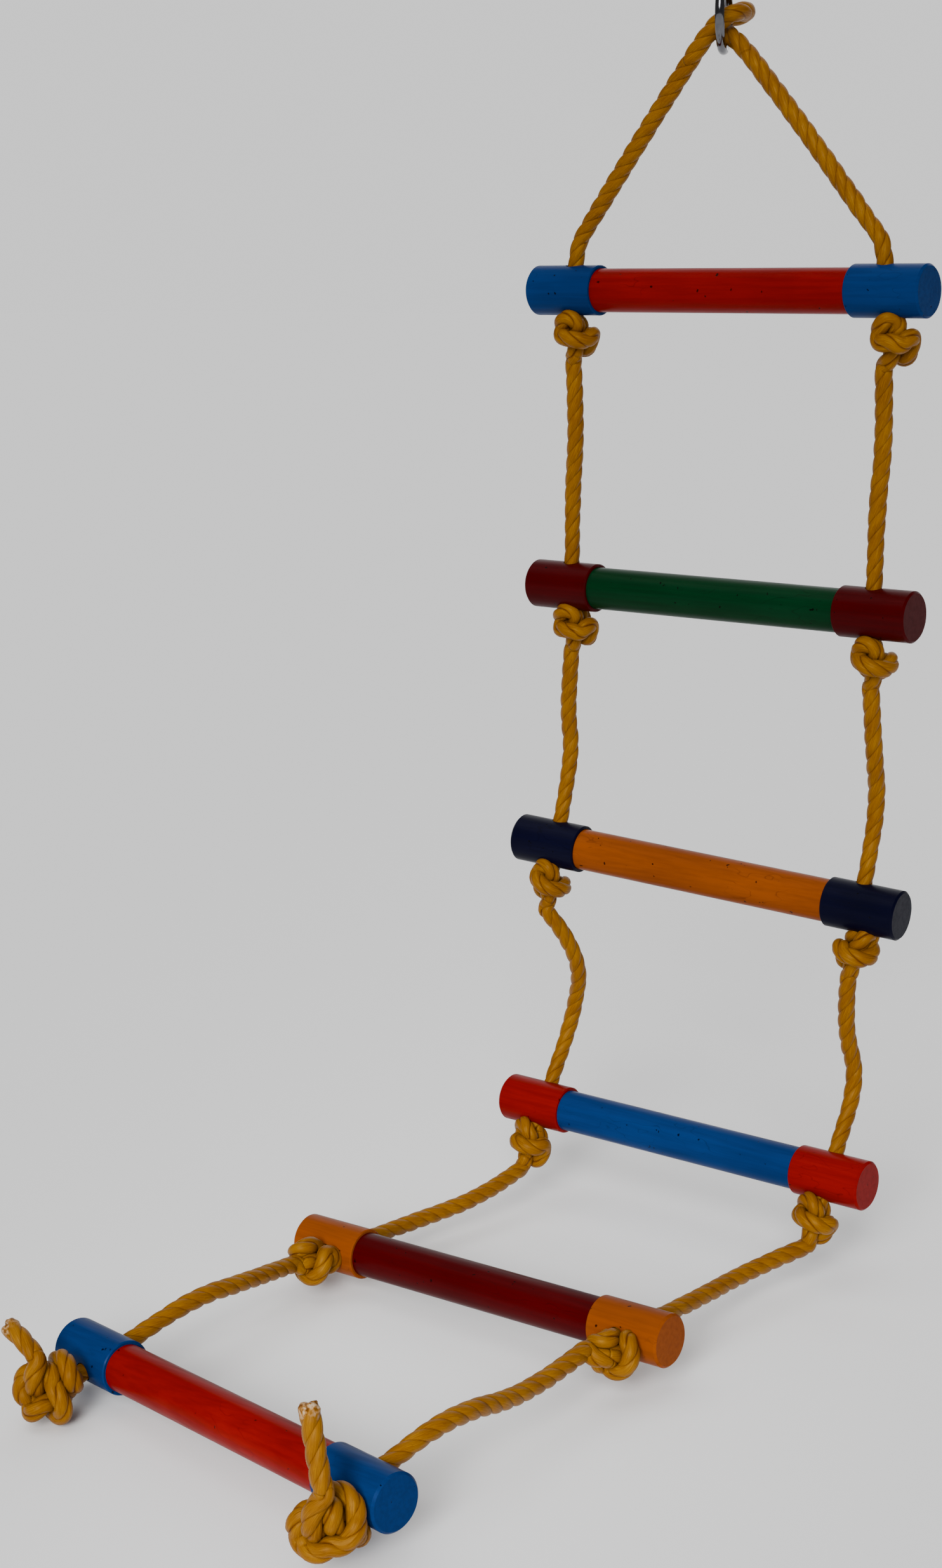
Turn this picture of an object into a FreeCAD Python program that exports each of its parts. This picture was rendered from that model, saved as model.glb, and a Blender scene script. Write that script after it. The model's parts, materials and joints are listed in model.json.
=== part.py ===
"""Escape rope ladder: six painted wooden rungs knotted onto one doubled rope that hangs from a steel ring.

Millimetres.  The origin is the centre of the ring's eye, X runs along the rungs, Y away from the
climber and Z up.  The rest pose has the upper four rungs hanging and the lower two lying on the floor.
"""
import os
import FreeCAD
import Part
import Sketcher
from math import acos, cos, pi, radians, sin, tan
from FreeCAD import Rotation, Vector

doc = FreeCAD.newDocument("EscapeRopeLadder")

# ---------------------------------------------------------------- dimensions
SIZES = {
    "rope_diameter": 14.0,
    "ring_bar": 8.0,
    "ring_centre_radius": 29.0,
    "ring_weld_bar": 9.6,
    "rung_length": 400.0,
    "hole_inset": 40.0,
    "hole_diameter": 16.0,
    "barrel_diameter": 45.0,
    "barrel_length": 70.0,
    "barrel_bevel": 1.8,
    "lip_bevel": 1.0,
    "socket_depth": 15.0,
    "socket_diameter": 39.2,
    "dowel_diameter": 39.0,
    "knot_turn_radius": 13.5,
    "stopper_turn_radius": 18.0,
    "tail_end_diameter": 16.0,
}
sheet = doc.addObject("Spreadsheet::Sheet", "Dimensions")
for row, (word, value) in enumerate(SIZES.items(), start=1):
    sheet.set("A%d" % row, word)
    sheet.set("B%d" % row, str(value))
    sheet.setAlias("B%d" % row, word)
doc.recompute()

ROPE = SIZES["rope_diameter"]
ROPE_R = ROPE / 2
BARREL_R = SIZES["barrel_diameter"] / 2
HALF_RUNG = SIZES["rung_length"] / 2
HOLE_AT = HALF_RUNG - SIZES["hole_inset"]
KNOT_TOP = BARREL_R - 0.5       # the rope inside the barrel ends here and the knot's core begins
KNOT_MIDDLE = 39.8              # middle of a knot's turns, from the rung's axis
KNOT_BOTTOM = 58.0              # the knot's core ends here
PIVOT = 65.4                    # centre of the rounded start of the next length of rope
STRAIGHT = 95.0                 # the rope is straight for this length before each rung's axis
STOPPER_MIDDLE = 48.5           # the last two knots are larger

# rest pose of each rung: centre, yaw, tilt of its right end, and roll of its holes towards the climber
RUNGS = {
    1: {"centre": Vector(5, 0, -231), "yaw": 0, "tilt": 0, "roll": 0},
    2: {"centre": Vector(-4, 13, -504), "yaw": 0, "tilt": 0, "roll": 0},
    3: {"centre": Vector(-14, 16, -762), "yaw": 4, "tilt": -3, "roll": 12},
    4: {"centre": Vector(-22, -2, -1017), "yaw": 0, "tilt": 0, "roll": 32},
    5: {"centre": Vector(-43, -285, -1075), "yaw": -1, "tilt": 2, "roll": 94},
    6: {"centre": Vector(-46, -600, -1075), "yaw": -9, "tilt": 2, "roll": 75},
}
SIDES = {"left": -1, "right": 1}


# ---------------------------------------------------------------- directions and points
def unit(v):
    return v * (1.0 / v.Length)


def along(i):
    """Direction of rung i, towards its right end."""
    yaw = radians(RUNGS[i]["yaw"])
    tilt = radians(RUNGS[i]["tilt"])
    return Vector(cos(yaw) * cos(tilt), sin(yaw) * cos(tilt), sin(tilt))


def through(i):
    """Direction of rung i's rope holes, towards the knots."""
    d = along(i)
    down = Vector(0, 0, -1)
    down = unit(down - d * down.dot(d))
    front = unit(down.cross(d)) * -1
    if front.y > 0:
        front = front * -1
    roll = radians(RUNGS[i]["roll"])
    return unit(down * cos(roll) + front * sin(roll))


def hole(i, side):
    """Where the hole's axis crosses the rung's axis."""
    return RUNGS[i]["centre"] + along(i) * (SIDES[side] * HOLE_AT)


def below(i, side, distance):
    """A point on the hole's axis at a distance from the rung's axis, towards the knot."""
    return hole(i, side) + through(i) * distance


def frame_at(origin, x_axis, z_axis):
    """Placement with local X and Z along the given directions."""
    x = unit(x_axis)
    z = unit(z_axis - x * z_axis.dot(x))
    y = z.cross(x)
    return FreeCAD.Placement(origin, Rotation(x, y, z, "XZY"))


# the rope between knots is not quite straight: each length passes one of these points on its way
VIA = {
    (2, "left"): Vector(-153, 3, -358),
    (2, "right"): Vector(163, 10, -356),
    (3, "left"): Vector(-171, 16, -626),
    (3, "right"): Vector(156, 22, -626),
    (4, "left"): Vector(-153, 20, -862),
    (4, "right"): Vector(135, 22, -883),
    (5, "left"): Vector(-181, -96, -1083),
    (5, "right"): Vector(117, -96, -1080),
    (6, "left"): Vector(-188, -430, -1061),
    (6, "right"): Vector(118, -430, -1073),
}


def bay_route(i, side):
    """Rope from the knot of rung i-1 through the hole of rung i."""
    start = below(i - 1, side, PIVOT)
    straight = below(i, side, -STRAIGHT)
    return [start, VIA[(i, side)], straight, below(i, side, KNOT_TOP)]


# the ring hangs turned out of line with the rungs
RING_TURN = radians(25)
RING_AXIS = Vector(cos(RING_TURN), sin(RING_TURN), 0)

# once through the eye from the left, round the far side of the ring, and through the eye again
HITCH = [
    Vector(-23.5, -8.8, -31.5),
    Vector(-3.0, -10.2, -7.0),
    Vector(12.6, 3.7, 3.0),
    Vector(4.1, 33.9, 6.0),
    Vector(-10.0, 45.0, 4.0),
    Vector(-26.9, 31.6, -2.0),
    Vector(-21.1, 12.2, -11.0),
    Vector(5.1, 7.9, -15.0),
    Vector(26.1, 6.9, -37.8),
]


def leg_route(side):
    """Rope from the hitch on the ring down through the hole of rung 1, pulled nearly straight by the ladder's weight."""
    top = HITCH[0]
    before = HITCH[1]
    if side == "right":
        top = HITCH[-1]
        before = HITCH[-2]
    mouth = below(1, side, -BARREL_R - 13)
    third = (mouth - top).Length / 3
    upper = top + unit(top - before) * third
    lower = mouth + unit(upper - mouth) * (0.4 * third) + Vector(-1.5, 1, 0)
    return [top, upper, lower, mouth, below(1, side, KNOT_TOP)]


# the two free ends, measured from the axis of the last rung's holes
TAILS = {
    "left": [Vector(2, -53, 4), Vector(-12, -59, 30), Vector(-42, -55, 36)],
    "right": [Vector(6, -58, 2), Vector(-4, -61, 46), Vector(-14, -55, 80)],
}


# ---------------------------------------------------------------- objects
def bound(kind, name, **cells):
    """A Part primitive whose sizes follow the spreadsheet."""
    thing = doc.addObject(kind, name)
    for prop, formula in cells.items():
        thing.setExpression(prop, formula)
    return thing


def rounded_wire(name, points):
    """Straight runs joined by tangent arcs."""
    edges = []
    here = points[0]
    radii = []
    for before, corner, after in zip(points, points[1:], points[2:]):
        back = before - corner
        on = after - corner
        half = (pi - acos(max(-1.0, min(1.0, unit(back).dot(unit(on)))))) / 2
        tangent = 0.45 * min(back.Length, on.Length)
        radii.append(tangent / tan(half))
        enter = corner + unit(back) * tangent
        leave = corner + unit(on) * tangent
        middle = corner + unit(unit(back) + unit(on)) * (radii[-1] / cos(half) - radii[-1])
        edges.append(Part.LineSegment(here, enter).toShape())
        edges.append(Part.Arc(enter, middle, leave).toShape())
        here = leave
    edges.append(Part.LineSegment(here, points[-1]).toShape())
    wire = Part.Wire(edges)
    print("%s: length %.1f, bend radii %s" % (name, wire.Length, ", ".join("%.0f" % r for r in radii)))
    line = doc.addObject("Part::Feature", name + "_line")
    line.Shape = wire
    return line, wire


def rope(name, points):
    """A rope-thick tube swept along a rounded line."""
    line, wire = rounded_wire(name, points)
    section = bound("Part::Circle", name + "_section", Radius="Dimensions.rope_diameter / 2")
    section.Placement = FreeCAD.Placement(points[0], Rotation(Vector(0, 0, 1), unit(points[1] - points[0])))
    tube = doc.addObject("Part::Sweep", name + "_tube")
    tube.Sections = [section]
    tube.Spine = (line, ["Edge%d" % (k + 1) for k in range(len(wire.Edges))])
    tube.Solid = True
    tube.Frenet = False
    doc.recompute()
    expected = pi * ROPE_R ** 2 * wire.Length
    if abs(tube.Shape.Volume / expected - 1) > 0.02:
        print("!! %s volume %.0f, expected %.0f" % (name, tube.Shape.Volume, expected))
    return tube


def fused(name, things):
    union = doc.addObject("Part::MultiFuse", name)
    union.Shapes = things
    union.Refine = True
    return union


finished = []


def finish(thing, label):
    thing.Label = label
    finished.append(thing)


def make_ring():
    bar = bound("Part::Torus", "ring_bar", Radius1="Dimensions.ring_centre_radius", Radius2="Dimensions.ring_bar / 2")
    bead = bound("Part::Torus", "ring_weld", Radius1="Dimensions.ring_centre_radius",
                 Radius2="Dimensions.ring_weld_bar / 2")
    bead.Angle3 = 9
    bead.Placement = FreeCAD.Placement(Vector(), Rotation(Vector(0, 0, 1), -4.5))
    ring = fused("ring_solid", [bar, bead])
    # local X (the weld) upwards, local Z is the ring's axis
    ring.Placement = frame_at(Vector(), Vector(0, 0, 1), RING_AXIS)
    finish(ring, "ring")


def make_barrel(i, side):
    """Turned end barrel: outer bevel, socket for the dowel and a cross hole for the rope."""
    name = "rung_%d_barrel_%s" % (i, side)
    body = doc.addObject("PartDesign::Body", name)
    planes = {f.Role: f for f in body.Origin.OriginFeatures}
    profile = body.newObject("Sketcher::SketchObject", name + "_profile")
    profile.AttachmentSupport = [(planes["XY_Plane"], "")]
    profile.MapMode = "FlatFace"
    r = SIZES["barrel_diameter"] / 2
    bevel = SIZES["barrel_bevel"]
    lip = SIZES["lip_bevel"]
    length = SIZES["barrel_length"]
    socket = SIZES["socket_diameter"] / 2
    seat = length - SIZES["socket_depth"]
    outline = [(0, 0), (0, r - bevel), (bevel, r), (length - lip, r), (length, r - lip),
               (length, socket), (seat, socket), (seat, 0)]
    for (x0, y0), (x1, y1) in zip(outline, outline[1:] + outline[:1]):
        profile.addGeometry(Part.LineSegment(Vector(x0, y0, 0), Vector(x1, y1, 0)))
    turned = body.newObject("PartDesign::Revolution", name + "_turned")
    turned.Profile = profile
    turned.ReferenceAxis = (profile, ["H_Axis"])
    turned.Angle = 360
    doc.recompute()
    whole = body.Shape.Volume
    cross = body.newObject("Sketcher::SketchObject", name + "_cross")
    cross.AttachmentSupport = [(planes["XY_Plane"], "")]
    cross.MapMode = "FlatFace"
    circle = cross.addGeometry(Part.Circle(Vector(SIZES["hole_inset"], 0, 0), Vector(0, 0, 1),
                                           SIZES["hole_diameter"] / 2))
    cross.addConstraint(Sketcher.Constraint("Diameter", circle, SIZES["hole_diameter"]))
    cross.setExpression("Constraints[0]", "Dimensions.hole_diameter")
    cross.addConstraint(Sketcher.Constraint("PointOnObject", circle, 3, -1))
    cross.addConstraint(Sketcher.Constraint("DistanceX", -1, 1, circle, 3, SIZES["hole_inset"]))
    cross.setExpression("Constraints[2]", "Dimensions.hole_inset")
    bore = body.newObject("PartDesign::Pocket", name + "_bore")
    bore.Profile = cross
    bore.Type = "ThroughAll"
    if "SideType" in bore.PropertiesList:
        bore.SideType = "Symmetric"
    else:
        bore.Midplane = True
    doc.recompute()
    removed = whole - body.Shape.Volume
    least = pi * (SIZES["hole_diameter"] / 2) ** 2 * (SIZES["barrel_diameter"] - 2)
    if removed < least:
        print("!! %s bore removed only %.0f of %.0f" % (name, removed, least))
    out = SIDES[side]
    body.Placement = frame_at(RUNGS[i]["centre"] + along(i) * (out * HALF_RUNG), along(i) * -out, through(i))
    finish(body, name)


def make_dowel(i):
    dowel = bound("Part::Cylinder", "rung_%d_dowel_rod" % i, Radius="Dimensions.dowel_diameter / 2",
                  Height="Dimensions.rung_length - 2 * (Dimensions.barrel_length - Dimensions.socket_depth)")
    half = HALF_RUNG - SIZES["barrel_length"] + SIZES["socket_depth"]
    start = RUNGS[i]["centre"] - along(i) * half
    dowel.Placement = FreeCAD.Placement(start, Rotation(Vector(0, 0, 1), along(i)))
    finish(dowel, "rung_%d_dowel" % i)


def make_knot(i, side):
    """Overhand knot: a straight core and two crossing turns of rope.  Local Z runs down the rope."""
    name = "knot_%d_%s" % (i, side)
    last = i == 6
    turn = "Dimensions.stopper_turn_radius" if last else "Dimensions.knot_turn_radius"
    middle = STOPPER_MIDDLE if last else KNOT_MIDDLE
    core = bound("Part::Cylinder", name + "_core", Radius="Dimensions.rope_diameter / 2")
    core.Height = (middle if last else KNOT_BOTTOM) - KNOT_TOP
    core.Placement.Base = Vector(0, 0, KNOT_TOP)
    pieces = [core]
    # tilt of each turn, its heading about the rope, and a small shift off the rope's line
    turns = [(23, 13, Vector(0.4, 0.3, -3.4)), (-23, 22, Vector(-0.4, -0.2, 3.4))]
    if last:
        turns = [(31, 13, Vector(0.4, 0.3, -3)), (-31, 22, Vector(-0.4, -0.2, 3)), (86, 57, Vector(0.3, -0.4, 0))]
    for number, (tilt, heading, shift) in enumerate(turns, start=1):
        loop = bound("Part::Torus", "%s_turn_%d" % (name, number), Radius1=turn, Radius2="Dimensions.rope_diameter / 2")
        if tilt > 80:
            loop.setExpression("Radius1", "Dimensions.stopper_turn_radius - 3")
        lean = Rotation(Vector(0, 0, 1), heading) * Rotation(Vector(1, 0, 0), tilt) * Rotation(Vector(0, 0, 1), 40)
        loop.Placement = FreeCAD.Placement(Vector(0, 0, middle) + shift, lean)
        pieces.append(loop)
    heart = bound("Part::Sphere", name + "_heart", Radius=turn + " + 0.5")
    heart.Placement.Base = Vector(0, 0, middle)
    pieces.append(heart)
    knot = fused(name + "_solid", pieces)
    knot.Placement = frame_at(hole(i, side), along(i) * SIDES[side], through(i))
    doc.recompute()
    finish(knot, name)
    return knot


def make_bay(i, side):
    """Length of rope between two knots, with a rounded start where it hangs in the knot above."""
    name = "rope_%d_%s" % (i, side)
    points = bay_route(i, side)
    tube = rope(name, points)
    start = bound("Part::Sphere", name + "_start", Radius="Dimensions.rope_diameter / 2")
    start.Placement.Base = points[0]
    finish(fused(name + "_solid", [tube, start]), name)


def make_tail(side, knot):
    """Free end of the rope, melted into a blunt cap, standing out of its stopper knot."""
    name = "tail_" + side
    points = [hole(6, side) + offset for offset in TAILS[side]]
    tube = rope(name, points)
    cap = bound("Part::Ellipsoid", name + "_cap", Radius1="Dimensions.rope_diameter / 4",
                Radius2="Dimensions.tail_end_diameter / 2", Radius3="Dimensions.tail_end_diameter / 2")
    cap.Placement = FreeCAD.Placement(points[-1], Rotation(Vector(0, 0, 1), unit(points[-1] - points[-2])))
    whole = fused(name + "_whole", [tube, cap])
    tail = doc.addObject("Part::Cut", name + "_solid")
    tail.Base = whole
    tail.Tool = knot
    finish(tail, name)


make_ring()
finish(rope("ring_hitch", HITCH), "ring_hitch")
for side in SIDES:
    finish(rope("leg_" + side, leg_route(side)), "leg_" + side)
for i in RUNGS:
    make_dowel(i)
    for side in SIDES:
        make_barrel(i, side)
        stopper = make_knot(i, side)
        if i > 1:
            make_bay(i, side)
        if i == 6:
            make_tail(side, stopper)
doc.recompute()

# ---------------------------------------------------------------- checks and files
for thing in doc.Objects:
    if "Invalid" in thing.State or "Error" in thing.State:
        raise RuntimeError("%s does not compute" % thing.Label)
os.makedirs("parts", exist_ok=True)
for thing in finished:
    shape = thing.Shape
    if shape.isNull() or not shape.isValid():
        raise RuntimeError("%s has no valid shape" % thing.Label)
    if len(shape.Solids) != 1:
        raise RuntimeError("%s has %d solids" % (thing.Label, len(shape.Solids)))
    shape.exportStep("parts/%s.step" % thing.Label)
print("%d parts" % len(finished))
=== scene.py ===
"""Looks of the escape rope ladder: three-strand rope with tied knots, painted rungs and a steel ring."""
import json
import math

import bpy
import numpy as np
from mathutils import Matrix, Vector


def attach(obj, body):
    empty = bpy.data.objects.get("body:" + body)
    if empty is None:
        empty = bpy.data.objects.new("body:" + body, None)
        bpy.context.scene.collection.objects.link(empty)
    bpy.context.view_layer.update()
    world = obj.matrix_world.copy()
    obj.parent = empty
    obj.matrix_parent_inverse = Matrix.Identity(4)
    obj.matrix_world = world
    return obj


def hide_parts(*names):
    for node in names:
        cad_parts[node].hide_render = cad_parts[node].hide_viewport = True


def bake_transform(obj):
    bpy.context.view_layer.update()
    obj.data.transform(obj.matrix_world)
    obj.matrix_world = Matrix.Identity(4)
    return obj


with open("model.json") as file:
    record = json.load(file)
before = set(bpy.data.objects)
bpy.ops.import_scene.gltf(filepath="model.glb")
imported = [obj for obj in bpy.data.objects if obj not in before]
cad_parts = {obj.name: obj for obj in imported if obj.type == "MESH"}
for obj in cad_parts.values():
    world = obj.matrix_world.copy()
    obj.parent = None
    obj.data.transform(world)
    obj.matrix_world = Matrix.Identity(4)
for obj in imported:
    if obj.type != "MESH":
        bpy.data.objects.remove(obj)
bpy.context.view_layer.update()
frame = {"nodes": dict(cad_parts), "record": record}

# ------------------------------------------------------------------ sizes, in metres
ROPE = 0.014                    # the rope's diameter
LAY = 0.045                     # rope length for one full turn of a strand
STRAND_AT = 0.0038              # strand's centre from the rope's centre
STRAND_HIGH = 0.0041            # half of a strand's thickness, seen from the rope's centre
STRAND_WIDE = 0.0051            # half of a strand's width, where it presses on its neighbours
BARREL_R = 0.0225
HOLE_AT = 0.160                 # a rope hole's distance from the middle of its rung
KNOT_TOP = 0.022                # where a knot begins, below its rung's axis
PIVOT = 0.0654                  # where the next length hangs from a knot, below the rung's axis
STRAIGHT = 0.095                # the route's corner before a hole, above the rung's axis
LINED_UP = 0.019                # the route's next point, in line with the hole
LEG_LINED_UP = 0.013            # how far above rung 1's barrels the legs line up with their holes
LEG_SETTLES = 0.4               # how gently they do it, as a share of a third of the leg
LEG_ASIDE = (-0.0015, 0.001, 0)  # a small shift on the way
OVERLAP = 0.020                 # how far a length of rope reaches up into the knot it hangs from
KNOT_MIDDLE = 0.0360            # the middle of a knot, below its rung's axis
STOPPER_MIDDLE = 0.0485         # the same for the last, double knots
STOPPER_BOTTOM = 3.2            # the lower end of their loose shape, from the middle, in rope diameters
COVERED = 0.020                 # how much of each free end the last knot covers

# each rung's centre, yaw and tilt in degrees, and the turn of its rope holes about its axis
RUNGS = {
    1: ((0.005, 0, -0.231), 0, 0, 0),
    2: ((-0.004, 0.013, -0.504), 0, 0, 0),
    3: ((-0.014, 0.016, -0.762), 4, -3, 12),
    4: ((-0.022, -0.002, -1.017), 0, 0, 32),
    5: ((-0.043, -0.285, -1.075), -1, 2, 94),
    6: ((-0.046, -0.600, -1.075), -9, 2, 75),
}
SIDES = {"left": -1, "right": 1}
# one point that each length of rope is drawn towards, between two rungs
VIA = {
    (2, "left"): (-0.153, 0.003, -0.358),
    (2, "right"): (0.163, 0.010, -0.356),
    (3, "left"): (-0.171, 0.016, -0.626),
    (3, "right"): (0.156, 0.022, -0.626),
    (4, "left"): (-0.153, 0.020, -0.862),
    (4, "right"): (0.135, 0.022, -0.883),
    (5, "left"): (-0.181, -0.096, -1.083),
    (5, "right"): (0.117, -0.096, -1.080),
    (6, "left"): (-0.188, -0.430, -1.061),
    (6, "right"): (0.118, -0.430, -1.073),
}
# once through the ring's eye from the left, round the far side of the ring, and through the eye again
HITCH = [
    (-0.0235, -0.0088, -0.0315),
    (-0.0030, -0.0102, -0.0070),
    (0.0126, 0.0037, 0.0030),
    (0.0041, 0.0339, 0.0060),
    (-0.0100, 0.0450, 0.0040),
    (-0.0269, 0.0316, -0.0020),
    (-0.0211, 0.0122, -0.0110),
    (0.0051, 0.0079, -0.0150),
    (0.0261, 0.0069, -0.0378),
]
# each free end's route, from the middle of the last hole
TAILS = {
    "left": [(0.002, -0.053, 0.004), (-0.012, -0.059, 0.030), (-0.042, -0.055, 0.036)],
    "right": [(0.006, -0.058, 0.002), (-0.004, -0.061, 0.046), (-0.014, -0.055, 0.080)],
}
# each knot's hand, its heading in degrees, the length of rope in it in rope diameters, and its shift off its
# hole's axis
KNOTS = {
    (1, "left"): (1, -135, 12.9, (0.006, 0, 0)),
    (1, "right"): (1, -122, 13.2, (0.013, 0, 0)),
    (2, "left"): (1, -115, 12.9, (0.009, 0, 0.004)),
    (2, "right"): (1, -150, 12.9, (0.003, 0, 0)),
    (3, "left"): (1, -160, 12.9, (0, 0, 0.004)),
    (3, "right"): (-1, -100, 13.6, (0.001, 0, 0.002)),
    (4, "left"): (1, -110, 13.3, (0.004, 0, 0)),
    (4, "right"): (1, -122, 12.8, (0.002, 0, 0)),
    (5, "left"): (1, 95, 12.9, (0, 0, 0)),
    (5, "right"): (1, 120, 13.4, (0.009, 0, -0.006)),
    (6, "left"): (-1, 315, 24.5, (0.004, -0.012, 0.005)),
    (6, "right"): (1, 0, 25.5, (0.019, -0.003, 0.007)),
}


# ------------------------------------------------------------------ directions and routes
def along(i):
    """Direction of rung i, from its left end to its right end."""
    yaw, tilt = (math.radians(a) for a in RUNGS[i][1:3])
    return Vector((math.cos(yaw) * math.cos(tilt), math.sin(yaw) * math.cos(tilt), math.sin(tilt)))


def through(i):
    """Direction of the rope in the holes of rung i, towards the knots."""
    d = along(i)
    down = Vector((0, 0, -1))
    down = (down - d * down.dot(d)).normalized()
    front = -down.cross(d).normalized()
    if front.y > 0:
        front = -front
    roll = math.radians(RUNGS[i][3])
    return (down * math.cos(roll) + front * math.sin(roll)).normalized()


def below(i, side, distance):
    """A point on the axis of rung i's rope hole, at a distance from the rung's axis towards the knot."""
    return Vector(RUNGS[i][0]) + along(i) * (SIDES[side] * HOLE_AT) + through(i) * distance


def bay_route(i, side):
    """Route of the rope from the knot above.  Its last part is in line with the hole, all the way up to where
    the rung can slide."""
    return [
        below(i - 1, side, PIVOT),
        Vector(VIA[(i, side)]),
        below(i, side, -STRAIGHT),
        below(i, side, -LINED_UP),
        below(i, side, KNOT_TOP),
    ]


def leg_route(side):
    """Route of one leg, onward from the hitch and down through its hole in rung 1."""
    top, before = (Vector(p) for p in (HITCH[0:2] if side == "left" else HITCH[-1:-3:-1]))
    mouth = below(1, side, -BARREL_R - LEG_LINED_UP)
    third = (mouth - top).length / 3
    upper = top + (top - before).normalized() * third
    lower = mouth + (upper - mouth).normalized() * (LEG_SETTLES * third) + Vector(LEG_ASIDE)
    return [top, upper, lower, mouth, below(1, side, KNOT_TOP)]


def smooth_line(points, name="route"):
    """The smooth NURBS line that follows a route, as points a few millimetres apart."""
    curve = bpy.data.curves.new(name, "CURVE")
    curve.dimensions = "3D"
    spline = curve.splines.new("NURBS")
    spline.points.add(len(points) - 1)
    for target, p in zip(spline.points, points):
        target.co = (p[0], p[1], p[2], 1)
    spline.order_u = 3
    spline.use_endpoint_u = True
    spline.resolution_u = 24
    holder = bpy.data.objects.new(name, curve)
    bpy.context.scene.collection.objects.link(holder)
    bpy.context.view_layer.update()
    mesh = bpy.data.meshes.new_from_object(holder.evaluated_get(bpy.context.evaluated_depsgraph_get()))
    line = np.array([v.co for v in mesh.vertices], float)
    bpy.data.meshes.remove(mesh)
    bpy.data.objects.remove(holder)
    bpy.data.curves.remove(curve)
    return line


def lengths(line):
    """Distance along a line to each of its points."""
    return np.r_[0, np.cumsum(np.linalg.norm(np.diff(line, axis=0), axis=1))]


def evenly(line, step):
    """The same line with points an equal step apart."""
    s = lengths(line)
    count = max(int(round(s[-1] / step)), 4) + 1
    at = np.linspace(0, s[-1], count)
    return np.stack([np.interp(at, s, line[:, k]) for k in range(3)], axis=1)


# ------------------------------------------------------------------ tying knots
def winding(turns, top, bottom, hand):
    """Loose first shape of a knot of one or two turns, along the Z axis, in rope diameters."""
    core = 0.57
    wide = 1.64
    half = 1.14
    straight = 0.3
    start = 0.35
    unfinished = 0.12
    points = [
        (0, 0, top),
        (0, 0, top + straight),
        (core * 0.6, 0, -half),
        (core, 0, -core),
        (core, 0, 0.43),
        (core + 0.14, 0, half),
    ]
    steps = 10 * turns
    for k in range(steps + 1):
        angle = start + 2 * math.pi * (turns - unfinished) * k / steps
        points.append((wide * math.cos(angle), hand * wide * math.sin(angle), half - 2 * half * k / steps))
    points += [
        (-core - 0.07, -0.14 * hand, -1.2),
        (-core, 0, -core),
        (-core, 0, core),
        (-core * 0.6, 0, 1.28),
        (0, 0, bottom - straight),
        (0, 0, bottom),
    ]
    return np.array(points, float)


TIE_STEPS = 900
TIGHTENED = 0.7                 # the share of the steps in which the rope is drawn in; the rest let it settle
ROOM = 0.7                      # how much of an overlap one step takes away
STRETCH = 0.45                  # how much of a piece's wrong length each of its ends takes up
STIFF = 0.04                    # how far a point moves to each of its neighbours


def tie(turns, top, bottom, length, hand, thick, press, aside, end=None, out=None):
    """Draws a loose knot tight until its rope has the given length, thickness and stiffness kept.

    All in rope diameters.  The knot is tied about the Z axis and its ends stand aside from it.  End and out
    are where the lower end goes, and in which direction, if not straight down.  Thick is how far apart two
    turns stay, and press is how hard each step draws them to the axis."""
    count = 72 if turns == 1 else 104
    line = winding(turns, top, bottom, hand)
    line = evenly(line, lengths(line)[-1] / (count - 1))
    for _ in range(3):
        line[1:-1] = (line[:-2] + 2 * line[1:-1] + line[2:]) / 4
    count = len(line)
    index = np.arange(count)
    apart = np.abs(index[:, None] - index[None, :])
    loose = lengths(line)[-1]
    goal = np.array([*aside, bottom], float) if end is None else np.array(end, float)
    heading = np.array([0, 0, 1.0]) if out is None else np.array(out, float) / np.linalg.norm(out)
    bend = thick / 2
    for step in range(TIE_STEPS):
        share = min(1.0, step / (TIE_STEPS * TIGHTENED))
        piece = (loose + (length - loose) * share) / (count - 1)
        first = np.array(aside) * share
        last = np.array([0, 0, bottom]) * (1 - share) + goal * share
        turn = np.array([0, 0, 1.0]) * (1 - share) + heading * share
        need = 2 * bend * np.sin(np.minimum(apart * piece, math.pi * bend) / (2 * bend))
        for _ in range(2):
            gap = line[:, None] - line[None, :]
            dist = np.linalg.norm(gap, axis=2) + 1e-9
            lack = np.where((apart > 1) & (dist < need), need - dist, 0.0)
            push = (gap / dist[..., None]) * lack[..., None] * 0.5
            touching = np.maximum((lack > 0).sum(axis=1), 1)
            line += push.sum(axis=1) / np.sqrt(touching)[:, None] * ROOM
            for _ in range(4):
                edge = line[1:] - line[:-1]
                long = np.linalg.norm(edge, axis=1) + 1e-9
                fix = edge / long[:, None] * ((long - piece) * STRETCH)[:, None]
                line[:-1] += fix
                line[1:] -= fix
                line[0:2] = [(*first, top), (*first, top + piece)]
                line[-2:] = [last - turn * piece, last]
        line[2:-2] = line[2:-2] * (1 - 2 * STIFF) + STIFF * (line[1:-3] + line[3:-1])
        line[2:-2, :2] *= 1 - press * share
    return line


def knot_frame(i, side, heading):
    """Origin on the rung's axis, Z down the rope, and X turned by a heading about the rope."""
    z = np.array(through(i))
    x = np.array(along(i))
    y = np.cross(z, x)
    a = math.radians(heading)
    axes = np.stack([x * math.cos(a) + y * math.sin(a), y * math.cos(a) - x * math.sin(a), z])
    return np.array(below(i, side, 0)), axes


# ------------------------------------------------------------------ rope
def carried_frames(line):
    """Tangents and two cross directions that don't twist along the line."""
    tangent = np.gradient(line, axis=0)
    tangent /= np.linalg.norm(tangent, axis=1)[:, None]
    first = np.cross(tangent[0], [0.3, 0.5, 0.81])
    normal = np.empty_like(line)
    normal[0] = first / np.linalg.norm(first)
    for k in range(1, len(line)):
        n = normal[k - 1] - tangent[k] * normal[k - 1].dot(tangent[k])
        normal[k] = n / np.linalg.norm(n)
    return tangent, normal, np.cross(tangent, normal)


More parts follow.
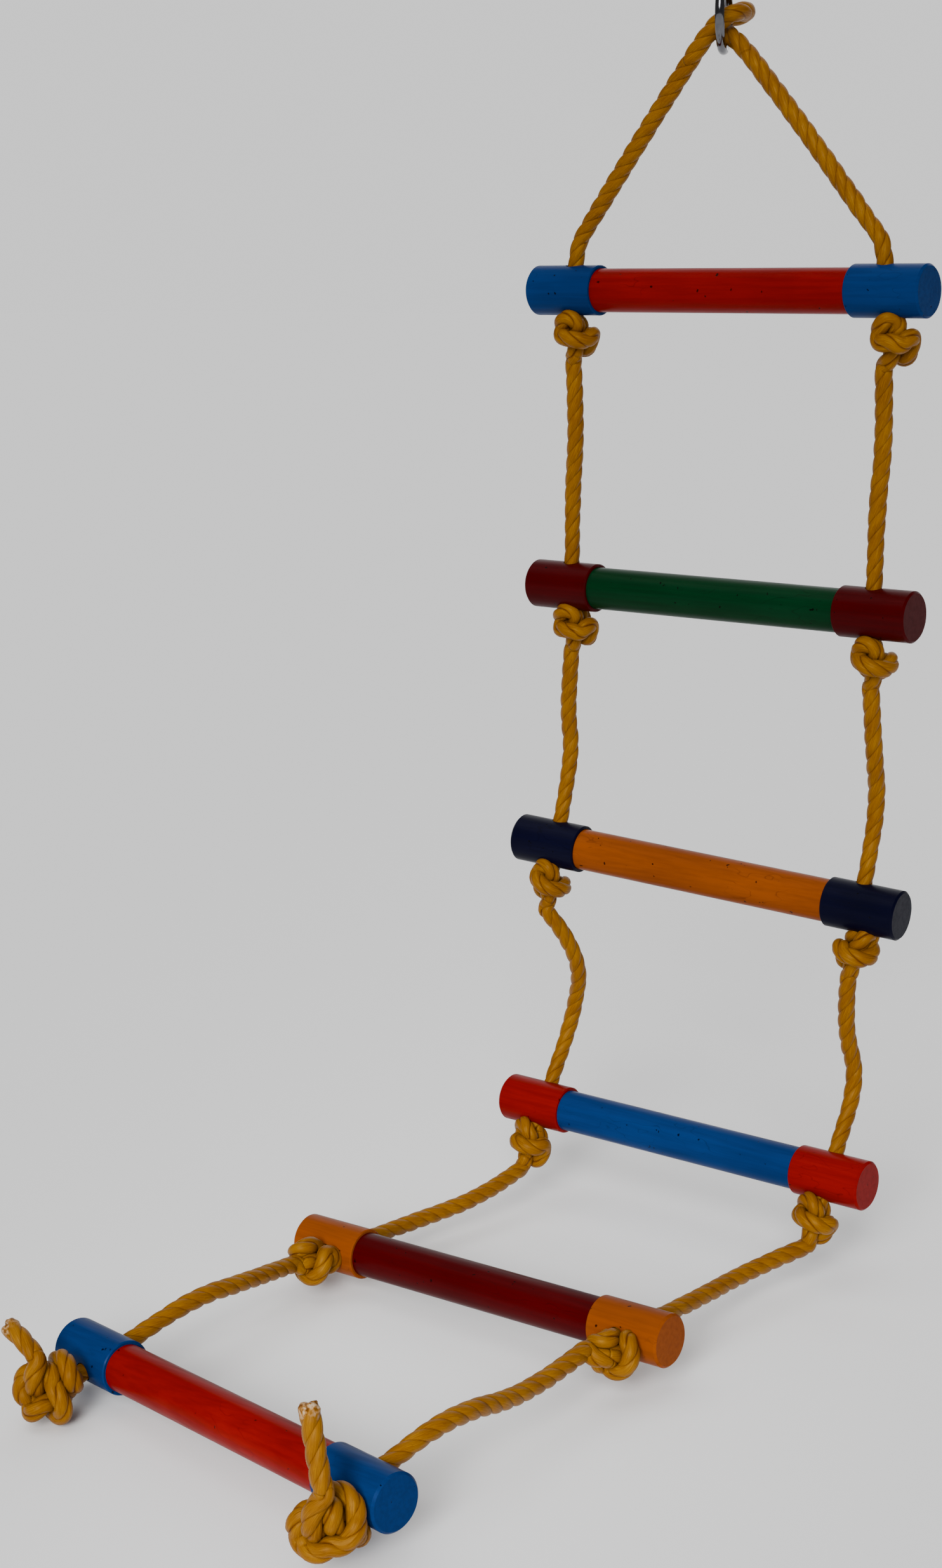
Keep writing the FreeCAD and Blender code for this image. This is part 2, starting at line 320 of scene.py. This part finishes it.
AROUND = 22    # points round a strand
STEP = 0.0014  # from one ring of points to the next
YARNS = 6                       # ridges round a strand
YARN_HEIGHT = 0.025             # as a share of the strand's thickness
YARN_TWIST = 150                # radians a metre, against the strands' own turn
SQUEEZE = 0.06                  # the holes press the rope this much thinner
SQUEEZED_AT = 0.020             # the middle of the squeezed part, above the rung's axis
SQUEEZED_TO = 0.060             # where the rope has its full thickness again, from that middle
SQUEEZE_FADE = 0.016            # the squeeze comes on over this length
MELTED = 0.011                  # the rope's free ends are melted together over this length
TIP_R = 0.0082                  # the melted end's radius
TIP_ROUND = 0.0035              # the very end is rounded over this length
CORE_R = 0.0025                 # points nearer the rope's centre than this stay inside the melted end


def squeezed(line):
    """The rope's thickness as a share of the full one: less in each hole and where a rung slides over it."""
    share = np.ones(len(line))
    for i in RUNGS:
        for side in SIDES:
            away = np.linalg.norm(line - np.array(below(i, side, -SQUEEZED_AT)), axis=1)
            share -= SQUEEZE * np.clip((SQUEEZED_TO - away) / SQUEEZE_FADE, 0, 1)
    return share


def strand_rings(line):
    """For each of the three strands: rings of points along the line, texture coordinates across and along the
    strand, how open to the outside each point of a ring is, and how melted each ring is."""
    s = lengths(line)
    tangent, normal, other = carried_frames(line)
    theta = np.linspace(0, 2 * math.pi, AROUND, endpoint=False)
    result = []
    # how open each point of a ring is to the outside; the rope's colour uses it for painted shade, darker
    # where a strand turns into the grooves between strands
    depth = np.clip((np.cos(theta) + 0.15) / 0.55, 0, 1)
    from_end = np.minimum(s, s[-1] - s)
    melted = np.clip(1 - from_end / MELTED, 0, 1)
    melted = melted * melted * (3 - 2 * melted)
    thin = squeezed(line)
    tip_r = TIP_R * np.sqrt(1 - np.clip(1 - from_end / TIP_ROUND, 0, 0.94) ** 2)
    for k in range(3):
        phase = 2 * math.pi * (s / LAY + k / 3)
        out = normal * np.cos(phase)[:, None] + other * np.sin(phase)[:, None]
        centre = line + out * (STRAND_AT * thin)[:, None]
        run = np.gradient(centre, axis=0)
        run /= np.linalg.norm(run, axis=1)[:, None]
        e1 = out - run * (out * run).sum(axis=1)[:, None]
        e1 /= np.linalg.norm(e1, axis=1)[:, None]
        e2 = np.cross(run, e1)
        twist = theta[None, :] + YARN_TWIST * s[:, None]
        ridge = 1 + YARN_HEIGHT * (np.abs(np.cos(YARNS / 2 * twist)) - 0.6)
        # the strands aren't equally thick all the way
        swell = 1 + 0.018 * np.sin(s * 310 + 2.1 * k) + 0.014 * np.sin(s * 127 + k)
        size = (ridge * (swell * thin)[:, None])[..., None]
        rings = centre[:, None] + size * (
            STRAND_HIGH * np.cos(theta)[None, :, None] * e1[:, None]
            + STRAND_WIDE * np.sin(theta)[None, :, None] * e2[:, None])
        spoke = rings - line[:, None]
        reach = np.linalg.norm(spoke, axis=2)
        lump = 1 + 0.05 * np.sin(5 * theta + 2 * k)[None, :]
        outer = reach > CORE_R
        fused = np.where(outer, tip_r[:, None] * lump, np.minimum(reach, tip_r[:, None]))
        share = 0.9 * melted[:, None]
        rings = line[:, None] + spoke * ((reach * (1 - share) + fused * share) / reach)[..., None]
        result.append((rings, twist * STRAND_WIDE, s, depth, melted))
    return result


def tube_mesh(name, strands, first, last):
    """One mesh of all three strands between two ring numbers, with closed ends."""
    verts = []
    faces = []
    uvs = []
    open_side = []
    melted_by = []
    for rings, across, s, depth, melted in strands:
        part = rings[first:last + 1]
        base = len(verts)
        rows = len(part)
        verts.extend(map(tuple, part.reshape(-1, 3)))
        open_side += list(depth) * rows
        melted_by += list(np.repeat(melted[first:last + 1], AROUND))
        for r in range(rows - 1):
            for c in range(AROUND):
                d = (c + 1) % AROUND
                faces.append((base + r * AROUND + c, base + r * AROUND + d,
                              base + (r + 1) * AROUND + d, base + (r + 1) * AROUND + c))
                u0 = across[first + r, c]
                u1 = u0 + 2 * math.pi * STRAND_WIDE / AROUND
                w0 = across[first + r + 1, c]
                w1 = w0 + 2 * math.pi * STRAND_WIDE / AROUND
                v0 = s[first + r]
                v1 = s[first + r + 1]
                uvs.extend([(u0, v0), (u1, v0), (w1, v1), (w0, v1)])
        for row, flip in ((0, True), (rows - 1, False)):
            centre = len(verts)
            verts.append(tuple(part[row].mean(axis=0)))
            # an end cap's middle gets a middling amount of the painted groove shade
            open_side.append(0.6)
            melted_by.append(melted[first + row])
            for c in range(AROUND):
                a = base + row * AROUND + c
                b = base + row * AROUND + (c + 1) % AROUND
                faces.append((b, a, centre) if flip else (a, b, centre))
                uvs.extend([(across[first + row, c], s[first + row])] * 3)
    mesh = bpy.data.meshes.new(name)
    mesh.from_pydata(verts, [], faces)
    # open_side carries the mask for the painted shade in the rope's grooves; melted carries the melted,
    # scorched ends
    for field, values in (("open_side", open_side), ("melted", melted_by)):
        mesh.attributes.new(field, "FLOAT", "POINT").data.foreach_set("value", np.array(values, np.float32))
    layer = mesh.uv_layers.new(name="UVMap")
    layer.data.foreach_set("uv", np.array(uvs, np.float32).ravel())
    # a cut end is flat; a melted end is smooth
    flat = [len(face) == 3 and not melted_by[face[0]] for face in faces]
    mesh.polygons.foreach_set("use_smooth", [not cut for cut in flat])
    mesh.validate()
    mesh.update()
    piece = bpy.data.objects.new(name, mesh)
    bpy.context.scene.collection.objects.link(piece)
    return piece


def tail_line(side):
    """The free end beyond the last knot, carried along with it.  The knot covers its first part."""
    start = below(6, side, 0) + Vector(KNOTS[(6, side)][3])
    line = smooth_line([start + Vector(p) for p in TAILS[side]])
    return line[lengths(line) >= COVERED]


def knot_line(i, side):
    """The rope's centre line in one knot, from the rung's side to its far side."""
    hand, heading, length, shift = KNOTS[(i, side)]
    middle = STOPPER_MIDDLE if i == 6 else KNOT_MIDDLE
    origin, axes = knot_frame(i, side, heading)
    moved = np.array(shift)
    origin = origin + axes[2] * middle + moved
    aside = -(axes @ moved)[:2] / ROPE
    top = (KNOT_TOP - middle) / ROPE
    if i < 6:
        shape = tie(1, top, (PIVOT - middle) / ROPE, length, hand, thick=1.0, press=0.003, aside=aside)
    else:
        tail = tail_line(side)
        goal = {"end": axes @ (tail[0] - origin) / ROPE, "out": axes @ (tail[3] - tail[0])}
        shape = tie(2, top, STOPPER_BOTTOM, length, hand, thick=1.05, press=0.002, aside=aside, **goal)
    return origin + (shape * ROPE) @ axes


def joined(parts):
    """One line through all the parts, each of which starts where the last one ends."""
    line = parts[0]
    for part in parts[1:]:
        line = np.vstack([line, part[1:]])
    return line


def whole_rope():
    """The rope's line from its left free end, up through the ring and down to its right free end, the names
    of its stretches, and how far along the line each one ends."""
    stretches = []
    for side in SIDES:
        down = [("leg_" + side, smooth_line(leg_route(side))), ("knot_1_" + side, knot_line(1, side))]
        for i in range(2, 7):
            down.append(("rope_%d_%s" % (i, side), smooth_line(bay_route(i, side))))
            down.append(("knot_%d_%s" % (i, side), knot_line(i, side)))
        down.append(("tail_" + side, tail_line(side)))
        if side == "left":
            stretches = [(name, line[::-1]) for name, line in down[::-1]]
            stretches.append(("ring_hitch", smooth_line(HITCH)))
        else:
            stretches += down
    line = evenly(joined([line for _, line in stretches]), STEP)
    ends = np.cumsum([lengths(part)[-1] for _, part in stretches])
    return line, [name for name, _ in stretches], ends * lengths(line)[-1] / ends[-1]


# ------------------------------------------------------------------ materials
def new_material(name):
    material = bpy.data.materials.new(name)
    material.use_nodes = True
    tree = material.node_tree
    shader = tree.nodes["Principled BSDF"]
    return material, tree, shader


def ramp(tree, source, stops):
    """A colour that changes with the source.  Each stop is a place and a colour, or a place and a grey."""
    item = tree.nodes.new("ShaderNodeValToRGB")
    elements = item.color_ramp.elements
    while len(elements) < len(stops):
        elements.new(0.5)
    for element, (at, colour) in zip(elements, stops):
        element.position = at
        element.color = (*colour, 1) if isinstance(colour, tuple) else (colour, colour, colour, 1)
    tree.links.new(source, item.inputs["Fac"])
    return item.outputs["Color"]


def mixed(tree, fac, a, b, mode="MIX"):
    """Two colours mixed.  Fac, a and b are each a socket or a constant."""
    item = tree.nodes.new("ShaderNodeMix")
    item.data_type = "RGBA"
    item.blend_type = mode
    for socket, value in ((item.inputs[0], fac), (item.inputs[6], a), (item.inputs[7], b)):
        if isinstance(value, bpy.types.NodeSocket):
            tree.links.new(value, socket)
        else:
            socket.default_value = (*value, 1) if isinstance(value, tuple) else value
    return item.outputs[2]


def multiplied(tree, first, *others):
    colour = first
    for other in others:
        colour = mixed(tree, 1.0, colour, other, "MULTIPLY")
    return colour


def noise(tree, coords, scale, detail=3.0, roughness=0.5, stretch=(1, 1, 1)):
    spread = tree.nodes.new("ShaderNodeMapping")
    spread.inputs["Scale"].default_value = tuple(scale * k for k in stretch)
    tree.links.new(coords, spread.inputs["Vector"])
    item = tree.nodes.new("ShaderNodeTexNoise")
    item.inputs["Scale"].default_value = 1.0
    item.inputs["Detail"].default_value = detail
    item.inputs["Roughness"].default_value = roughness
    tree.links.new(spread.outputs["Vector"], item.inputs["Vector"])
    return item.outputs["Fac"]


def bumped(tree, shader, heights):
    """Chains bumps, each a height with its strength and its depth in metres."""
    last = None
    for height, strength, depth in heights:
        item = tree.nodes.new("ShaderNodeBump")
        item.inputs["Strength"].default_value = strength
        item.inputs["Distance"].default_value = depth
        tree.links.new(height, item.inputs["Height"])
        if last:
            tree.links.new(last, item.inputs["Normal"])
        last = item.outputs["Normal"]
    tree.links.new(last, shader.inputs["Normal"])


def rope_material():
    material, tree, shader = new_material("laid_rope")
    coords = tree.nodes.new("ShaderNodeTexCoord")
    fibres = noise(tree, coords.outputs["UV"], 1.0, 4.0, 0.65, (3600, 90, 1))
    yarns = noise(tree, coords.outputs["UV"], 1.0, 2.0, 0.5, (900, 14, 1))
    blotches = noise(tree, coords.outputs["Object"], 45.0)
    dark_yellow = (0.118, 0.036, 0.0002)
    yellow = (0.225, 0.088, 0.0003)
    pale_yellow = (0.36, 0.175, 0.001)
    light = ramp(tree, fibres, [(0.28, dark_yellow), (0.50, yellow), (0.76, pale_yellow)])
    tone = ramp(tree, blotches, [(0.35, (0.80, 0.72, 0.70)), (0.65, 1.0)])
    grey = ramp(tree, yarns, [(0.35, (0.84, 0.80, 0.80)), (0.65, 1.0)])
    # painted shade: the colour is darkened where a strand faces into the grooves between strands, by the
    # open_side mask, in place of the shadow there
    depth = tree.nodes.new("ShaderNodeAttribute")
    depth.attribute_name = "open_side"
    painted_shade_stops = [(0.0, (0.20, 0.10, 0.08)), (0.55, (0.62, 0.50, 0.45)), (1.0, 1.0)]
    painted_groove_shade = ramp(tree, depth.outputs["Fac"], painted_shade_stops)
    laid = multiplied(tree, light, tone, grey, painted_groove_shade)
    tip = tree.nodes.new("ShaderNodeAttribute")
    tip.attribute_name = "melted"
    soot = noise(tree, coords.outputs["Object"], 330.0, 2.0)
    burnt = [(0.38, (0.10, 0.030, 0.004)), (0.50, (0.27, 0.13, 0.035)), (0.64, (0.46, 0.33, 0.20))]
    scorched = ramp(tree, soot, burnt)
    tree.links.new(mixed(tree, tip.outputs["Fac"], laid, scorched), shader.inputs["Base Color"])
    gloss = ramp(tree, fibres, [(0.3, 0.50), (0.7, 0.34)])
    tree.links.new(gloss, shader.inputs["Roughness"])
    shader.inputs["Specular IOR Level"].default_value = 0.22
    shader.inputs["Specular Tint"].default_value = (1.0, 0.72, 0.25, 1)
    shader.inputs["Sheen Weight"].default_value = 0.015
    shader.inputs["Sheen Roughness"].default_value = 0.4
    shader.inputs["Sheen Tint"].default_value = (1.0, 0.62, 0.16, 1)
    bumped(tree, shader, [(yarns, 0.6, 0.0005), (fibres, 0.5, 0.00025)])
    return material


def paint_material(name, colour, worn):
    """Satin enamel on wood: brush streaks, small dark chips, hairline scratches and uneven gloss."""
    material, tree, shader = new_material("paint_" + name)
    coords = tree.nodes.new("ShaderNodeTexCoord").outputs["Object"]
    drift = noise(tree, coords, 9.0)
    streaks = noise(tree, coords, 260.0, 3.0, 0.6, (0.05, 1, 1))
    specks = noise(tree, coords, 190.0, 1.5)
    marks = noise(tree, coords, 60.0, 2.0, 0.5, (0.35, 1, 1))
    peel = noise(tree, coords, 420.0, 2.0)
    base = ramp(tree, drift, [(0.35, worn), (0.65, colour)])
    brushed = ramp(tree, streaks, [(0.30, 0.80), (0.60, 1.0)])
    chips = ramp(tree, specks, [(0.730, 1.0), (0.750, (0.12, 0.10, 0.10))])
    deep = [(0.475, 1.0), (0.484, (0.62, 0.60, 0.60)), (0.490, 1.0)]
    shallow = [(0.640, 1.0), (0.646, 0.7), (0.652, 1.0)]
    scratches = ramp(tree, marks, deep + shallow)
    where = ramp(tree, drift, [(0.52, 0.0), (0.60, 1.0)])
    scratched = mixed(tree, where, (1, 1, 1), scratches)
    tree.links.new(multiplied(tree, base, brushed, chips, scratched), shader.inputs["Base Color"])
    gloss = ramp(tree, streaks, [(0.35, 0.40), (0.65, 0.29)])
    tree.links.new(gloss, shader.inputs["Roughness"])
    shader.inputs["Specular IOR Level"].default_value = 0.04
    bumped(tree, shader, [(streaks, 0.12, 0.0004), (peel, 0.10, 0.0002), (chips, 0.5, 0.0003)])
    return material


def steel_material():
    """Bright steel with faint wear."""
    material, tree, shader = new_material("ring_steel")
    coords = tree.nodes.new("ShaderNodeTexCoord").outputs["Object"]
    shader.inputs["Metallic"].default_value = 1.0
    shade = ramp(tree, noise(tree, coords, 160.0), [(0.35, (0.11, 0.11, 0.12)), (0.65, (0.14, 0.14, 0.15))])
    tree.links.new(shade, shader.inputs["Base Color"])
    wear = noise(tree, coords, 900.0, 3.0, 0.6)
    tree.links.new(ramp(tree, wear, [(0.4, 0.09), (0.7, 0.15)]), shader.inputs["Roughness"])
    bumped(tree, shader, [(wear, 0.03, 0.0001)])
    return material


# each paint's colour, and its colour where it is worn
PAINTS = {
    "blue": ((0.0003, 0.025, 0.116), (0.0002, 0.020, 0.095)),
    "red": ((0.192, 0.0009, 0.0004), (0.160, 0.0006, 0.0003)),
    "maroon": ((0.052, 0.0003, 0.0012), (0.042, 0.0002, 0.0009)),
    "green": ((0.0004, 0.026, 0.0074), (0.0003, 0.021, 0.0056)),
    "navy": ((0.0024, 0.0024, 0.0125), (0.0016, 0.0017, 0.0090)),
    "orange": ((0.212, 0.043, 0.0003), (0.180, 0.036, 0.0002)),
}
looks = {"paint_" + name: paint_material(name, *colours) for name, colours in PAINTS.items()}
looks["rope_yellow"] = rope_material()
looks["ring_steel"] = steel_material()

slot_of = {s["node"]: s["material_slot"] for s in frame["record"]["subparts"]}
for name, obj in frame["nodes"].items():
    obj.data.materials.clear()
    obj.data.materials.append(looks[slot_of[name]])


def owner(name):
    """The body that a stretch of rope, knot or free end belongs to."""
    if name.startswith("tail"):
        return "bay_6"
    if name == "ring_hitch" or name.startswith(("leg", "knot_1")):
        return "bridle"
    return "bay_" + name.split("_")[1]


rope_line, names, ends = whole_rope()
strands = strand_rings(rope_line)
s = lengths(rope_line)
cuts = [0.0] + list(ends)
for k, name in enumerate(names[:-1]):
    # a length of rope reaches a little way up into the knot it hangs from
    following = names[k + 1]
    if name.startswith("rope"):
        if following.startswith("knot_%d" % (int(name[5]) - 1)):
            cuts[k + 1] += OVERLAP
    elif name.startswith("knot") and following == "rope_%d_%s" % (int(name[5]) + 1, name[7:]):
        cuts[k + 1] -= OVERLAP
rings = [int(np.argmin(np.abs(s - c))) for c in cuts]
pieces = {}
for k, name in enumerate(names):
    pieces[name] = tube_mesh("laid_" + name, strands, rings[k], rings[k + 1])
for k, name in enumerate(names):
    piece = pieces[name]
    first, last = rings[k], rings[k + 1]
    piece.data.materials.append(looks["rope_yellow"])
    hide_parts(name)
    if name.startswith("rope"):
        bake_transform(piece)
    else:
        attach(piece, owner(name))
    if name.startswith(("rope", "leg", "ring")):
        path = [tuple(p) for p in rope_line[first:last + 1]]
        if name.endswith("left"):
            path = path[::-1]

# ------------------------------------------------------------------ floor, light and camera
FLOOR_Z = -1.1165               # just under the lowest knot
FLOOR_HALF = 60
floor_mesh = bpy.data.meshes.new("floor")
corners = [(-1, -1), (1, -1), (1, 1), (-1, 1)]
floor_mesh.from_pydata([(FLOOR_HALF * x, FLOOR_HALF * y, FLOOR_Z) for x, y in corners], [], [(0, 1, 2, 3)])
floor = bpy.data.objects.new("floor", floor_mesh)
bpy.context.scene.collection.objects.link(floor)
floor_look, floor_tree, floor_shader = new_material("floor")
floor_shader.inputs["Base Color"].default_value = (0.90, 0.90, 0.90, 1)
floor_shader.inputs["Roughness"].default_value = 1.0
floor_shader.inputs["Specular IOR Level"].default_value = 0.0
floor_mesh.materials.append(floor_look)

# the pale backdrop is the world itself; it lights the ladder much less than the lamps do
BACKDROP = 1.0
AMBIENT = 0.16
world = bpy.data.worlds.new("studio")
world.use_nodes = True
sky = world.node_tree
seen = sky.nodes["Background"]
seen.inputs["Color"].default_value = (1, 1, 1, 1)
seen.inputs["Strength"].default_value = BACKDROP
soft = sky.nodes.new("ShaderNodeBackground")
soft.inputs["Color"].default_value = (1, 1, 1, 1)
soft.inputs["Strength"].default_value = AMBIENT
path = sky.nodes.new("ShaderNodeLightPath")
either = sky.nodes.new("ShaderNodeMixShader")
sky.links.new(path.outputs["Is Camera Ray"], either.inputs[0])
sky.links.new(soft.outputs[0], either.inputs[1])
sky.links.new(seen.outputs[0], either.inputs[2])
sky.links.new(either.outputs[0], sky.nodes["World Output"].inputs["Surface"])
bpy.context.scene.world = world


def softbox(name, azimuth, elevation, strength, width):
    """A far, wide lamp.  Azimuth is measured from the ladder's front towards its right."""
    data = bpy.data.lights.new(name, "SUN")
    data.energy = strength
    data.angle = math.radians(width)
    lamp = bpy.data.objects.new(name, data)
    a, e = math.radians(azimuth), math.radians(elevation)
    towards = Vector((math.sin(a) * math.cos(e), -math.cos(a) * math.cos(e), math.sin(e)))
    lamp.rotation_euler = towards.to_track_quat("Z", "Y").to_euler()
    bpy.context.scene.collection.objects.link(lamp)


softbox("key", azimuth=25, elevation=30, strength=2.9, width=30)
softbox("top", azimuth=-40, elevation=75, strength=1.1, width=60)
softbox("back", azimuth=205, elevation=30, strength=1.0, width=60)

# a soft lamp on the lowest three rungs
LOW_AT = (0.7, -2.2, -0.3)
LOW_AIM = (-0.03, -0.25, -1.05)
low_data = bpy.data.lights.new("low", "SPOT")
low_data.energy = 165
low_data.spot_size = math.radians(30)
low_data.spot_blend = 1.0
low_data.shadow_soft_size = 0.35
low = bpy.data.objects.new("low", low_data)
low.location = LOW_AT
low.rotation_euler = (Vector(LOW_AT) - Vector(LOW_AIM)).to_track_quat("Z", "Y").to_euler()
bpy.context.scene.collection.objects.link(low)

CAMERA_AT = (1.155, -1.830, -0.226)
CAMERA_DOWN = 11.7              # degrees below the horizon
CAMERA_TURN = 38                # degrees to the left of straight back
camera_data = bpy.data.cameras.new("camera")
camera_data.sensor_fit = "VERTICAL"
camera_data.sensor_height = 24
camera_data.lens = 36.89915
camera = bpy.data.objects.new("camera", camera_data)
camera.location = CAMERA_AT
camera.rotation_euler = (math.radians(90 - CAMERA_DOWN), 0, math.radians(CAMERA_TURN))
bpy.context.scene.collection.objects.link(camera)
bpy.context.scene.camera = camera
